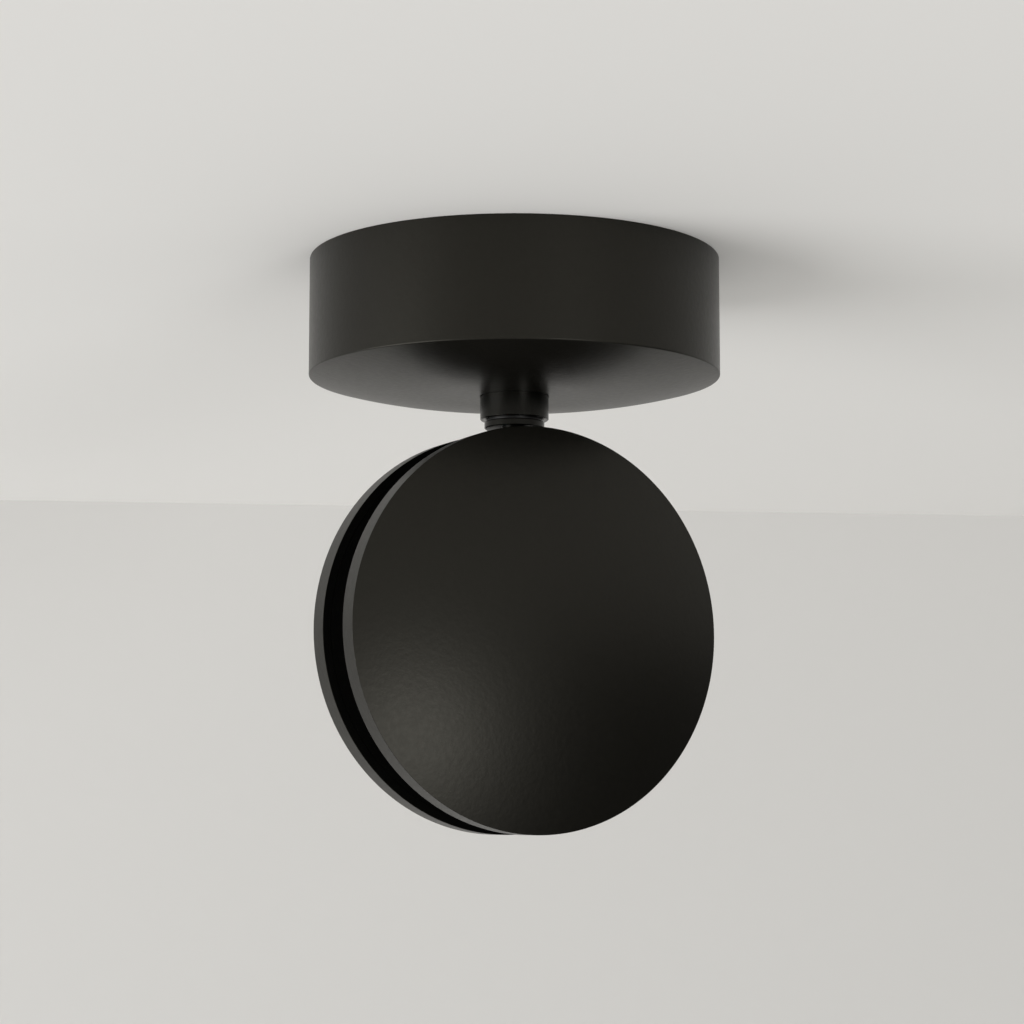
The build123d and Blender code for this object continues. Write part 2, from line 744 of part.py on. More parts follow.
def plate_piece(side):
    """Flat disc beside the light gap, with a groove for the diffuser and countersunk screw holes."""
    with BuildPart() as plate:
        with BuildSketch(face_plane(side, plate_outer_face)):
            Circle(plate_radius - fit_gap)
        extrude(amount=-plate_thickness)
        with BuildSketch(face_plane(side, gap_half)):
            Circle(diffuser_radius + run_gap)
            Circle(diffuser_radius - diffuser_wall - run_gap, mode=Mode.SUBTRACT)
        extrude(amount=groove_depth, mode=Mode.SUBTRACT)
        with Locations(face_plane(side, plate_outer_face)):
            with PolarLocations(plate_screw_circle / 2, 3, start_angle=180, angular_range=180, endpoint=True):
                CounterSinkHole(small_thread / 2 + fit_gap, plate_screw_head / 2 + fit_gap)
    return plate


def plate_screws_piece(side):
    """Countersunk screws from the shell's side of a plate into the hub."""
    with BuildPart() as screws:
        with Locations(face_plane(side, plate_outer_face)):
            with PolarLocations(plate_screw_circle / 2, 3, start_angle=180, angular_range=180, endpoint=True):
                cone_height = (plate_screw_head - small_thread) / 2
                Cone(
                    small_thread / 2, plate_screw_head / 2, cone_height,
                    align=(Align.CENTER, Align.CENTER, Align.MAX),
                )
                Cylinder(
                    small_thread / 2, plate_thickness + plate_screw_length / 2,
                    align=(Align.CENTER, Align.CENTER, Align.MAX),
                )
    return screws


dome_radius = (disc_radius ** 2 + dome_rise ** 2) / (2 * dome_rise)
dome_centre = gap_half + rim_width + dome_rise - dome_radius
cavity_radius = plate_radius - shell_ledge


def dome_height(radius_from_axis, wall):
    """Distance from the middle of the gap to the dome, or to its inside below a wall thickness."""
    return dome_centre + sqrt((dome_radius - wall) ** 2 - radius_from_axis ** 2)


def shell_piece(side):
    """Hollow disc with a straight rim and a spherical dome, open towards its inner plate."""
    with BuildPart() as shell:
        with BuildSketch(head_plane(side)) as section:
            with BuildLine():
                outside = ThreePointArc(
                    (0, dome_height(0, 0)),
                    (disc_radius / 2, dome_height(disc_radius / 2, 0)),
                    (disc_radius, gap_half + rim_width),
                )
                inside = ThreePointArc(
                    (0, dome_height(0, shell_wall)),
                    (cavity_radius / 2, dome_height(cavity_radius / 2, shell_wall)),
                    (cavity_radius, dome_height(cavity_radius, shell_wall)),
                )
                Polyline(
                    outside @ 1,
                    (disc_radius, gap_half),
                    (plate_radius, gap_half),
                    (plate_radius, plate_outer_face),
                    (cavity_radius, plate_outer_face),
                    inside @ 1,
                )
                Line(inside @ 0, outside @ 0)
            make_face()
            fillet(section.vertices().group_by(Axis.X)[-1], radius=rim_edge_radius)
        revolve(axis=head_axis)
    return shell


front_plate = plate_piece(front)
rear_plate = plate_piece(rear)
front_plate_screws = plate_screws_piece(front)
rear_plate_screws = plate_screws_piece(rear)
front_shell = shell_piece(front)
rear_shell = shell_piece(rear)

# Every piece under its own name
pieces = {
    "canopy_shell": canopy_shell,
    "ceiling_bracket": ceiling_bracket,
    "nipple_tube": nipple_tube,
    "bracket_nuts": bracket_nuts,
    "lock_washer": lock_washer,
    "nipple_bush": nipple_bush,
    "terminal_block": terminal_block,
    "terminal_clamps": terminal_clamps,
    "terminal_screws": terminal_screws,
    "terminal_fixing_screw": terminal_fixing_screw,
    "earth_eyelet": earth_eyelet,
    "earth_washer": earth_washer,
    "earth_screw": earth_screw,
    "driver_case": driver_case,
    "driver_cover": driver_cover,
    "driver_board": driver_board,
    "driver_components": driver_components,
    "driver_pad": driver_pad,
    "live_lead": live_lead,
    "neutral_lead": neutral_lead,
    "earth_lead": earth_lead,
    "output_lead": output_lead,
    "adaptor_bush": adaptor_bush,
    "stop_pin": stop_pin,
    "neck_collar": neck_collar,
    "lower_friction_washer": lower_friction_washer,
    "upper_friction_washer": upper_friction_washer,
    "swivel_stem": swivel_stem,
    "stem_nut": stem_nut,
    "disc_spring": disc_spring,
    "hub": hub,
    "stem_grub_screw": stem_grub_screw,
    "led_strip": led_strip,
    "led_chips": led_chips,
    "diffuser_ring": diffuser_ring,
    "head_cable": head_cable,
    "led_leads": led_leads,
    "front_plate": front_plate,
    "rear_plate": rear_plate,
    "front_plate_screws": front_plate_screws,
    "rear_plate_screws": rear_plate_screws,
    "front_shell": front_shell,
    "rear_shell": rear_shell,
}
for name, piece in pieces.items():
    piece.part.label = name
    export_step(piece.part, f"parts/{name}.step")
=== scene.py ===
from math import cos, pi, radians, sin

import bpy
import numpy as np
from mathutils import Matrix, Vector


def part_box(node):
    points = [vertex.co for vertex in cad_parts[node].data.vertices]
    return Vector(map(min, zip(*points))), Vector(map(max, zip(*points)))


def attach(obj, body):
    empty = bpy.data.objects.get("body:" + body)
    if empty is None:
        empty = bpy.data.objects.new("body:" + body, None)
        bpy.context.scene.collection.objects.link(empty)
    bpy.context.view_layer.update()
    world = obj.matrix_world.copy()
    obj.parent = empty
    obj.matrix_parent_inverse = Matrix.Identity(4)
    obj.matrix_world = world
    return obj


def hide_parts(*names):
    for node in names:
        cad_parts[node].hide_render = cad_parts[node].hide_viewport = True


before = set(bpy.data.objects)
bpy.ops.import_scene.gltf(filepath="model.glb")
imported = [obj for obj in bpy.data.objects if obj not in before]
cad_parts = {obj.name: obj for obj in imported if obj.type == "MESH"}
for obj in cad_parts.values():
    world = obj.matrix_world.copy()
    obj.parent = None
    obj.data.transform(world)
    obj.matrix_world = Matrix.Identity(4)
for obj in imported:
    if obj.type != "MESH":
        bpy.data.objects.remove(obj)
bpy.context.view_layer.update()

# Ceiling lamp: a round canopy, a swivel neck and a head of two domed discs with a light gap between them.
# Metres, in the frame's own place: the ceiling is z = 0 and the front disc faces -Y.
MM = 0.001

# Canopy
canopy_low, canopy_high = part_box("canopy_shell")
canopy_radius = canopy_high.y
seat_level = canopy_low.z
seat_radius = 20.0 * MM             # flat middle of the domed underside
underside_rise = 5.6 * MM
canopy_bottom = seat_level + underside_rise
canopy_wall = 2.0 * MM
canopy_floor = 3.0 * MM
canopy_edge = 0.4 * MM              # rounding of the lower edge
recess_gap = 0.05 * MM              # round the collar where it is let in
canopy_hole = 5.3 * MM              # radius of the hole for the threaded tube
coat_edge = 0.25 * MM               # rounding that powder leaves on any other edge

# Neck
collar_low, collar_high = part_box("neck_collar")
collar_radius = collar_high.x
collar_wall = 2.0 * MM
collar_lip = 2.4 * MM               # floor of the collar, round the stem
collar_bore = 3.6 * MM              # radius of the hole for the stem
collar_chamfer = 0.3 * MM
turned_edge = 0.12 * MM             # broken edges of turned pieces

# Head
front_low, front_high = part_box("front_shell")
rear_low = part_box("rear_shell")[0]
disc_radius = front_high.x
light_gap = rear_low.y - front_high.y
head_centre = Vector((0, (front_high.y + rear_low.y) / 2, (front_low.z + front_high.z) / 2))
gap_half = light_gap / 2
rim_width = 6.7 * MM
rim_edge = 0.09 * MM                # crisper than on the solids, as the photograph has it
dome_rise = 8.0 * MM
shell_wall = 2.5 * MM
shell_ledge = 1.5 * MM              # step behind the inner plate
plate_thickness = 3.0 * MM
dome_radius = (disc_radius ** 2 + dome_rise ** 2) / (2 * dome_rise)
dome_centre = gap_half + rim_width + dome_rise - dome_radius

# How finely the surfaces are cut
turn_steps = 360                    # round the large turned pieces
small_turn_steps = 160              # round the neck
arc_steps = 8                       # along one rounded corner
dome_steps = 60                     # from the dome's middle to its rim
underside_steps = 40                # from the canopy's seat to its lower edge
hold = 0.12 * MM                    # loop beside each rounding, which keeps flat runs flat

# Camera, measured from the photograph: the front disc is turned to the right of it
camera_swing = radians(27.47)
camera_distance = 715.1 * MM        # level, from the swivel axis
camera_side = -0.7 * MM
camera_height = -162.25 * MM
camera_pitch = radians(7.034)
camera_lens = 87.17                 # mm, as is the sensor's width
camera_sensor = 36
camera_near = 10 * MM               # it sees nothing closer
photo_right = Vector((cos(camera_swing), -sin(camera_swing), 0))
photo_away = Vector((sin(camera_swing), cos(camera_swing), 0))


def linear(code):
    """Linear colour, with alpha, of an sRGB hex value."""
    parts = np.array([int(code[n:n + 2], 16) for n in (1, 3, 5)]) / 255
    lit = np.where(parts > 0.04045, ((parts + 0.055) / 1.055) ** 2.4, parts / 12.92)
    return (*lit.tolist(), 1.0)


def per(size):
    """Repeats per metre of a pattern whose real size is given in millimetres."""
    return 1.0 / (size * MM)


def waves(spacing):
    """Scale of a wave texture whose lines lie a spacing in mm apart. At scale 1 they lie pi / 10 m apart."""
    return per(spacing) * pi / 10


def put(tree, kind, inputs=None, **settings):
    """Adds one node. The settings are its own, and the inputs are values or links by socket."""
    node = tree.nodes.new(kind)
    for name, value in settings.items():
        setattr(node, name, value)
    for socket, value in (inputs or {}).items():
        if isinstance(value, bpy.types.NodeSocket):
            tree.links.new(value, node.inputs[socket])
        else:
            node.inputs[socket].default_value = value
    return node


# Surfaces

def section(corners, closed=True):
    """Outline through corners (radius, height, rounding). Each corner is turned by the arc that touches both
    its runs: centre + (sin((1 - s) swing) * start + sin(s swing) * end) / sin(swing), with s from 0 to 1 and
    start and end the arc's ends as seen from its centre. A loop lies beside each end of the arc."""
    places = np.array([corner[:2] for corner in corners])
    parts = []
    for n, (*_, rounding) in enumerate(corners):
        at_end = not closed and n in (0, len(corners) - 1)
        if at_end or rounding == 0:
            parts.append(places[n:n + 1])
            continue
        back = places[n - 1] - places[n]
        ahead = places[(n + 1) % len(places)] - places[n]
        back /= np.linalg.norm(back)
        ahead /= np.linalg.norm(ahead)
        half = np.arccos(np.clip(back @ ahead, -1, 1)) / 2
        reach = rounding / np.tan(half)
        middle = places[n] + (back + ahead) / np.linalg.norm(back + ahead) * rounding / np.sin(half)
        start, end = places[n] + back * reach, places[n] + ahead * reach
        swing = pi - 2 * half
        share = np.linspace(0, 1, arc_steps + 1)[:, None]
        near_start, near_end = np.sin((1 - share) * swing), np.sin(share * swing)
        arc = (near_start * (start - middle) + near_end * (end - middle)) / sin(swing)
        parts.append(np.vstack([start + back * hold, middle + arc, end + ahead * hold]))
    return np.vstack(parts)


def smooth_object(name, points, faces, material):
    """An object in the scene, smooth all over, with these points and faces."""
    mesh = bpy.data.meshes.new(name)
    mesh.from_pydata(points.tolist(), [], faces)
    mesh.shade_smooth()
    mesh.materials.append(material)
    smooth = bpy.data.objects.new(name, mesh)
    bpy.context.scene.collection.objects.link(smooth)
    return smooth


def make_piece(name, points, faces, body, slot, material, *stands_for):
    """A smooth piece that rides on a body and stands for CAD nodes."""
    piece = smooth_object(name, points, faces, material)
    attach(piece, body)
    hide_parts(*stands_for)
    return piece


def turned(outline, centre, axis, steps, closed=True):
    """Points and faces of a turned surface: centre + height(s) * axis + radius(s) * (cos(t) * across
    + sin(t) * beside), with s along the outline and t round the axis. An open outline has a pole at each
    end."""
    axis = np.array(axis, float)
    across = np.array((1.0, 0.0, 0.0))
    beside = np.cross(axis, across)
    turn = np.linspace(0, 2 * pi, steps, endpoint=False)
    ring = np.cos(turn)[:, None] * across + np.sin(turn)[:, None] * beside
    rows = outline if closed else outline[1:-1]
    grid = np.array(centre) + rows[:, 1, None, None] * axis + rows[:, 0, None, None] * ring
    points = grid.reshape(-1, 3)
    index = np.arange(len(points)).reshape(len(rows), steps)
    aside = np.roll(index, -1, axis=1)
    quads = np.stack([index, aside, np.roll(aside, -1, axis=0), np.roll(index, -1, axis=0)], axis=-1)
    if closed:
        return points, quads.reshape(-1, 4).tolist()
    poles = np.array(centre) + outline[[0, -1], 1, None] * axis
    first, last = len(points), len(points) + 1
    start = np.stack([np.full(steps, first), aside[0], index[0]], axis=-1)
    end = np.stack([np.full(steps, last), index[-1], aside[-1]], axis=-1)
    faces = quads[:-1].reshape(-1, 4).tolist() + start.tolist() + end.tolist()
    return np.vstack([points, poles]), faces


# Materials

noise_low, noise_high = 0.3, 0.7    # between these lie most values of a noise texture


def new_material(name, base, roughness, **sockets):
    """A material with one shader, whose own sockets take what is the same all over. Returns the material,
    its node tree, the shader and Object coordinates."""
    material = bpy.data.materials.new(name)
    material.use_nodes = True
    tree = material.node_tree
    shader = tree.nodes["Principled BSDF"]
    shader.inputs["Base Color"].default_value = linear(base)
    shader.inputs["Roughness"].default_value = roughness
    for socket, value in sockets.items():
        shader.inputs[socket.replace("_", " ")].default_value = value
    place = put(tree, "ShaderNodeTexCoord").outputs["Object"]
    return material, tree, shader, place


def mottle(tree, shader, place, size, base, other):
    """Colour that drifts between two hex values in patches of a size in mm."""
    noise = put(tree, "ShaderNodeTexNoise", {"Vector": place, "Scale": per(size), "Detail": 3.0})
    drift = put(tree, "ShaderNodeMapRange", {
        "Value": noise.outputs[0], "From Min": noise_low, "From Max": noise_high,
    })
    colour = put(tree, "ShaderNodeMix", {
        0: drift.outputs[0], 6: linear(base), 7: linear(other),
    }, data_type="RGBA")
    tree.links.new(colour.outputs[2], shader.inputs["Base Color"])


def polish(tree, shader, place, size, low, high):
    """Roughness that drifts between two values in patches of a size in mm."""
    noise = put(tree, "ShaderNodeTexNoise", {"Vector": place, "Scale": per(size), "Detail": 2.0})
    drift = put(tree, "ShaderNodeMapRange", {
        "Value": noise.outputs[0], "From Min": noise_low, "From Max": noise_high,
        "To Min": low, "To Max": high,
    })
    tree.links.new(drift.outputs[0], shader.inputs["Roughness"])


def relief(tree, shader, pattern, height):
    """Raises a pattern by a height in mm, on top of what the shader's normal already has."""
    bump = put(tree, "ShaderNodeBump", {"Height": pattern, "Distance": height * MM, "Strength": 1.0})
    below = shader.inputs["Normal"]
    if below.is_linked:
        tree.links.new(below.links[0].from_socket, bump.inputs["Normal"])
    tree.links.new(bump.outputs["Normal"], below)


def grain(tree, shader, place, size, height):
    """Unevenness of a size and height in mm."""
    noise = put(tree, "ShaderNodeTexNoise", {"Vector": place, "Scale": per(size), "Detail": 1.0})
    relief(tree, shader, noise.outputs[0], height)


def powder_coat():
    # Charcoal polyester powder, baked on: satin and faintly warm, with low orange peel and a dry grain. The
    # grain is drawn coarser than the real one of about 0.2 mm, which would be too fine to show
    material, tree, shader, place = new_material(
        "powder_coat_charcoal", "#0b0a08", 0.35, IOR=1.375, Specular_Tint=linear("#fffbec"))
    mottle(tree, shader, place, 1.2, "#0c0b09", "#090806")
    polish(tree, shader, place, 1.6, 0.335, 0.365)
    grain(tree, shader, place, 1.5, 0.027)
    grain(tree, shader, place, 0.7, 0.006)
    return material


def anodised_black():
    # Aluminium turned on a lathe and dyed black in the anodising bath: darker and tighter than the coat. The
    # lathe lines, about 0.15 mm apart in truth, are drawn coarser so that they can show
    material, tree, shader, place = new_material(
        "anodised_aluminium_black", "#040403", 0.24, IOR=1.31, Specular_Tint=linear("#fffdf2"))
    mottle(tree, shader, place, 3.0, "#050504", "#030302")
    polish(tree, shader, place, 1.5, 0.21, 0.27)
    lines = put(tree, "ShaderNodeTexWave", {"Vector": place, "Scale": waves(0.35)}, bands_direction="Z")
    relief(tree, shader, lines.outputs["Fac"], 0.0005)
    return material


def gap_black_and_shade():
    # Dead matt stove paint inside the light gap, made darker than its own black as painted shade: it stands
    # in for the deep shade between the discs, so that the gap stays dark while the lamp is off
    material, tree, shader, place = new_material("matt_black_painted_shade", "#040403", 0.9, IOR=1.15)
    mottle(tree, shader, place, 2.0, "#050504", "#030302")
    grain(tree, shader, place, 0.5, 0.004)
    return material


def zinc_plate():
    # Steel with bright zinc and clear passivation: cool grey metal with faint blue and straw clouds
    material, tree, shader, place = new_material("zinc_plated_steel", "#b9bcbd", 0.32, Metallic=1.0)
    mottle(tree, shader, place, 6.0, "#b3b8bc", "#bfbcb2")
    polish(tree, shader, place, 3.0, 0.27, 0.4)
    grain(tree, shader, place, 0.4, 0.0008)
    return material


def brass():
    # Brass from the bar, turned and left bare: warm yellow metal, a little browned in patches, with lathe
    # lines that are drawn coarser than real ones
    material, tree, shader, place = new_material("brass", "#c8a256", 0.28, Metallic=1.0)
    mottle(tree, shader, place, 4.0, "#cba75c", "#b98f45")
    polish(tree, shader, place, 1.5, 0.22, 0.36)
    lines = put(tree, "ShaderNodeTexWave", {"Vector": place, "Scale": waves(0.3)}, bands_direction="Z")
    relief(tree, shader, lines.outputs["Fac"], 0.0005)
    return material


def tin_plate():
    # Copper with a coat of tin: soft white metal, slightly clouded
    material, tree, shader, place = new_material("tinned_copper", "#c9c7c2", 0.38, Metallic=1.0)
    mottle(tree, shader, place, 2.0, "#cdcbc6", "#bfb8ae")
    polish(tree, shader, place, 1.0, 0.32, 0.46)
    return material


def turned_aluminium():
    # Bare aluminium faced on a lathe: fine rings about the head's axis, drawn coarser than real ones, carry
    # the highlight round
    material, tree, shader, place = new_material("turned_aluminium", "#cdcecf", 0.34, Metallic=1.0)
    mottle(tree, shader, place, 8.0, "#cfd0d1", "#c4c5c6")
    polish(tree, shader, place, 2.0, 0.3, 0.4)
    about_axis = put(tree, "ShaderNodeVectorMath", {0: place, 1: head_centre}, operation="SUBTRACT")
    rings = put(
        tree, "ShaderNodeTexWave", {"Vector": about_axis.outputs[0], "Scale": waves(0.4)},
        wave_type="RINGS", rings_direction="Y")
    relief(tree, shader, rings.outputs["Fac"], 0.001)
    return material


def natural_nylon():
    # Nylon without pigment: milky, with light that goes a little way in
    material, tree, shader, place = new_material(
        "nylon_natural", "#e3dfcc", 0.45, Subsurface_Weight=0.25, Subsurface_Scale=0.002)
    mottle(tree, shader, place, 5.0, "#e5e1cf", "#dcd7c2")
    polish(tree, shader, place, 1.5, 0.4, 0.5)
    grain(tree, shader, place, 0.7, 0.002)
    return material


def driver_plastic():
    # Polycarbonate moulded in a spark-eroded tool: pale grey with an even fine texture
    material, tree, shader, place = new_material("polycarbonate_pale_grey", "#e3e5e5", 0.5)
    mottle(tree, shader, place, 10.0, "#e5e7e7", "#dddfdf")
    polish(tree, shader, place, 2.0, 0.46, 0.56)
    grain(tree, shader, place, 0.35, 0.004)
    return material


def circuit_board():
    # Glass-fibre board under green solder mask: copper tracks show as paler, slightly raised lanes
    material, tree, shader, place = new_material("solder_mask_green", "#39805a", 0.35)
    cells = put(tree, "ShaderNodeTexVoronoi", {"Vector": place, "Scale": per(5.0)}, distance="CHEBYCHEV")
    lane_foot, lane_top = 0.3, 0.34     # where a lane's bank starts and ends, from a cell's middle
    lane = put(tree, "ShaderNodeMapRange", {
        "Value": cells.outputs["Distance"], "From Min": lane_foot, "From Max": lane_top,
    })
    colour = put(tree, "ShaderNodeMix", {
        0: lane.outputs[0], 6: linear("#38825b"), 7: linear("#4d9a70"),
    }, data_type="RGBA")
    tree.links.new(colour.outputs[2], shader.inputs["Base Color"])
    polish(tree, shader, place, 2.0, 0.3, 0.4)
    relief(tree, shader, lane.outputs[0], 0.03)
    return material


def component_black():
    # Shrink sleeve and ferrite: black with a dull wavy gloss
    material, tree, shader, place = new_material("component_sleeve_black", "#302f30", 0.42)
    mottle(tree, shader, place, 3.0, "#323132", "#2a2a2a")
    polish(tree, shader, place, 1.5, 0.36, 0.48)
    grain(tree, shader, place, 1.2, 0.006)
    return material


def strip_white():
    # White solder mask of the light strip: bright and smooth, so that it throws the light out
    material, tree, shader, place = new_material("strip_mask_white", "#eeeeeb", 0.4)
    mottle(tree, shader, place, 3.0, "#efefec", "#e7e7e3")
    polish(tree, shader, place, 1.0, 0.36, 0.45)
    return material


def led_phosphor():
    # Yellow phosphor in clear silicone over each chip: dull inside a soft gloss
    material, tree, shader, place = new_material(
        "phosphor_silicone", "#f3dc7d", 0.35, Subsurface_Weight=0.3, Subsurface_Scale=0.0008)
    mottle(tree, shader, place, 0.6, "#f5e08a", "#eed06a")
    polish(tree, shader, place, 0.5, 0.3, 0.42)
    return material


def opal_acrylic():
    # Opal acrylic, unlit: milk white with a clear sheen, and light that spreads inside the wall
    material, tree, shader, place = new_material(
        "opal_acrylic", "#f3f3ef", 0.28, IOR=1.49, Subsurface_Weight=0.3, Subsurface_Scale=0.002)
    mottle(tree, shader, place, 15.0, "#f4f4f0", "#f1f1ec")
    polish(tree, shader, place, 4.0, 0.24, 0.33)
    return material


def foam_tape():
    # Closed-cell foam: dark grey, open bubbles on the cut sides
    material, tree, shader, place = new_material("foam_tape_grey", "#464543", 0.9)
    mottle(tree, shader, place, 1.5, "#4a4947", "#3b3a38")
    cells = put(tree, "ShaderNodeTexVoronoi", {"Vector": place, "Scale": per(0.6)})
    relief(tree, shader, cells.outputs["Distance"], 0.12)
    return material


def friction_nylon():
    # Black nylon with molybdenum: greasy and nearly black, rubbed a little brighter in patches
    material, tree, shader, place = new_material("friction_nylon_black", "#0a0a0a", 0.4)
    mottle(tree, shader, place, 1.5, "#0d0d0d", "#070707")
    polish(tree, shader, place, 1.0, 0.33, 0.46)
    return material


def soft_pvc(name, base, other):
    # Extruded PVC insulation: even colour, soft gloss and long faint waves
    material, tree, shader, place = new_material(name, base, 0.38)
    mottle(tree, shader, place, 4.0, base, other)
    polish(tree, shader, place, 2.0, 0.34, 0.44)
    grain(tree, shader, place, 1.4, 0.006)
    return material


def earth_pvc():
    # Green insulation with yellow along its lower side, told apart by the way the surface faces
    material, tree, shader, place = new_material("pvc_green_yellow", "#4f8f2f", 0.38)
    facing = put(tree, "ShaderNodeNewGeometry").outputs["Normal"]
    height = put(tree, "ShaderNodeSeparateXYZ", {0: facing}).outputs["Z"]
    stripe_end, green_start = -0.12, -0.08
    stripe = put(tree, "ShaderNodeMapRange", {
        "Value": height, "From Min": stripe_end, "From Max": green_start,
    })
    colour = put(tree, "ShaderNodeMix", {
        0: stripe.outputs[0], 6: linear("#e0c93a"), 7: linear("#3f8a35"),
    }, data_type="RGBA")
    tree.links.new(colour.outputs[2], shader.inputs["Base Color"])
    polish(tree, shader, place, 2.0, 0.34, 0.44)
    grain(tree, shader, place, 1.4, 0.006)
    return material


# Pieces that show from outside

def canopy_cup(material):
    """Cup open towards the ceiling, turned about the upright axis. Its underside is a flat seat and then the
    arc seat radius + R sin(t), seat level + R (1 - cos(t)), with R = (run squared + rise squared) / (2 rise),
    and the collar is let into the seat."""
    inside = canopy_radius - canopy_wall
    floor_top = canopy_bottom + canopy_floor
    recess = collar_radius + recess_gap
    run = canopy_radius - seat_radius
    arc_radius = (run ** 2 + underside_rise ** 2) / (2 * underside_rise)
    swing = np.linspace(0, np.arcsin(run / arc_radius), underside_steps, endpoint=False)
    arc_reach = seat_radius + arc_radius * np.sin(swing)
    arc_level = seat_level + arc_radius * (1 - np.cos(swing))
    outline = section([
        (canopy_hole, canopy_bottom, coat_edge),
        (recess, canopy_bottom, coat_edge),
        (recess, seat_level, coat_edge),
        *zip(arc_reach, arc_level, np.zeros(underside_steps)),
        (canopy_radius, canopy_bottom, canopy_edge),
        (canopy_radius, 0, coat_edge),
        (inside, 0, coat_edge),
        (inside, floor_top, canopy_edge),
        (canopy_hole, floor_top, coat_edge),
    ])
    points, faces = turned(outline, (0, 0, 0), (0, 0, 1), turn_steps)
    make_piece("canopy_cup", points, faces, "canopy", "powder_coat", material, "canopy_shell")


def collar_sleeve(material):
    """Sleeve with a lip round the stem: a closed outline turned about the upright axis."""
    inside = collar_radius - collar_wall
    lip_top = collar_low.z + collar_lip
    outline = section([
        (collar_bore, collar_low.z, turned_edge),
        (collar_radius - collar_chamfer, collar_low.z, turned_edge),
        (collar_radius, collar_low.z + collar_chamfer, turned_edge),
        (collar_radius, collar_high.z, turned_edge),
        (inside, collar_high.z, turned_edge),
        (inside, lip_top, turned_edge),
        (collar_bore, lip_top, turned_edge),
    ])
    points, faces = turned(outline, (0, 0, 0), (0, 0, 1), small_turn_steps)
    make_piece("collar_sleeve", points, faces, "canopy", "black_anodised", material, "neck_collar")


def cap(radius, swing):
    """Half section of a sphere about the dome's centre: radius sin(t), dome centre + radius cos(t)."""
    return np.stack([radius * np.sin(swing), dome_centre + radius * np.cos(swing)], axis=1)


def domed_shell(name, side, material, gap_shade_paint, node):
    """Hollow disc turned about the head's axis: a dome that is a cap of a sphere, a straight rim with small
    roundings, a seat for the inner plate, and a cap of a smaller sphere inside. The faces between the rim and
    the seat, which look into the light gap, take the dark gap paint as painted shade."""
    plate_radius = disc_radius - shell_wall
    cavity_radius = plate_radius - shell_ledge
    seat = gap_half + plate_thickness
    rim_top = gap_half + rim_width
    inner_radius = dome_radius - shell_wall
    outer = cap(dome_radius, np.linspace(0, np.arcsin(disc_radius / dome_radius), dome_steps + 1))
    inner = cap(inner_radius, np.linspace(np.arcsin(cavity_radius / inner_radius), 0, dome_steps + 1))
    keep = outer[:, 0] < disc_radius - 2 * rim_edge
    rim = section([
        (*outer[keep][-1], 0),
        (disc_radius, rim_top, rim_edge),
        (disc_radius, gap_half, rim_edge),
        (plate_radius, gap_half, coat_edge),
        (plate_radius, seat, coat_edge),
        (cavity_radius, seat, coat_edge),
        (*inner[0], 0),
    ], closed=False)
    outline = np.vstack([outer[keep][:-1], rim[:-1], inner])
    points, faces = turned(outline, head_centre, (0, side, 0), turn_steps, closed=False)
    piece = make_piece(name, points, faces, "head", "powder_coat", material, node)
    # Painted shade: the faces that look into the light gap get the dark gap paint, which stands for the shade
    # between the discs
    bands = (outline[1:-2] + outline[2:-1]) / 2
    in_gap = (bands[:, 0] < disc_radius - rim_edge) & (bands[:, 1] < seat)
    gap_shade_index = np.zeros(len(faces), np.int32)
    gap_shade_index[:in_gap.size * turn_steps] = np.repeat(in_gap, turn_steps)
    piece.data.materials.append(gap_shade_paint)
    piece.data.polygons.foreach_set("material_index", gap_shade_index)


coat = powder_coat()
anodised = anodised_black()
gap_shade_paint = gap_black_and_shade()
canopy_cup(coat)
collar_sleeve(anodised)
domed_shell("front_dome", -1, coat, gap_shade_paint, "front_shell")
domed_shell("rear_dome", 1, coat, gap_shade_paint, "rear_shell")

# Materials of the pieces that keep their CAD shape
steel_nodes = (
    "ceiling_bracket", "nipple_tube", "bracket_nuts", "lock_washer", "terminal_screws",
    "terminal_fixing_screw", "earth_washer", "earth_screw", "stop_pin", "stem_nut", "disc_spring",
    "stem_grub_screw", "front_plate_screws", "rear_plate_screws",
)
wardrobe = [
    (anodised, ("swivel_stem",)),
    # The inner plates take the same dark gap paint: partly their own matt black, partly painted shade of the
    # gap
    (gap_shade_paint, ("front_plate", "rear_plate")),
    (zinc_plate(), steel_nodes),
    (brass(), ("terminal_clamps", "adaptor_bush")),
    (tin_plate(), ("earth_eyelet",)),
    (turned_aluminium(), ("hub",)),
    (natural_nylon(), ("terminal_block", "nipple_bush")),
    (driver_plastic(), ("driver_case", "driver_cover")),
    (circuit_board(), ("driver_board",)),
    (component_black(), ("driver_components",)),
    (strip_white(), ("led_strip",)),
    (led_phosphor(), ("led_chips",)),
    (opal_acrylic(), ("diffuser_ring",)),
    (foam_tape(), ("driver_pad",)),
    (friction_nylon(), ("lower_friction_washer", "upper_friction_washer")),
    (soft_pvc("pvc_brown", "#6f4527", "#683f22"), ("live_lead",)),
    (soft_pvc("pvc_blue", "#3160ab", "#2b58a0"), ("neutral_lead",)),
    (earth_pvc(), ("earth_lead",)),
    (soft_pvc("pvc_black", "#303030", "#292929"), ("output_lead", "head_cable", "led_leads")),
]
for material, nodes in wardrobe:
    for node in nodes:
        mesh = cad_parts[node].data
        mesh.materials.clear()
        mesh.materials.append(material)

# Stage: a ceiling and a wall behind the lamp, which fade into the surround beyond what the photograph shows

wall_distance = 583 * MM            # behind the swivel axis
wall_turn = radians(7.2)
ceiling_solid, ceiling_reach = 0.65, 1.1    # metres from the axis where it starts to fade, and where it ends
wall_solid, wall_reach = 0.45, 1.0          # the same for the wall, to both sides and down
ceiling_rings = 60
wall_columns, wall_rows = 41, 21
paint_roughness = 0.9
lamp_distance = 2.6                 # metres from the axis at the head's level
flag_azimuth, flag_elevation = 80, -30
flag_distance = 1.2                 # metres from the ceiling's middle
flag_half = 0.6                     # half its side
surround = "#bcbbb8"


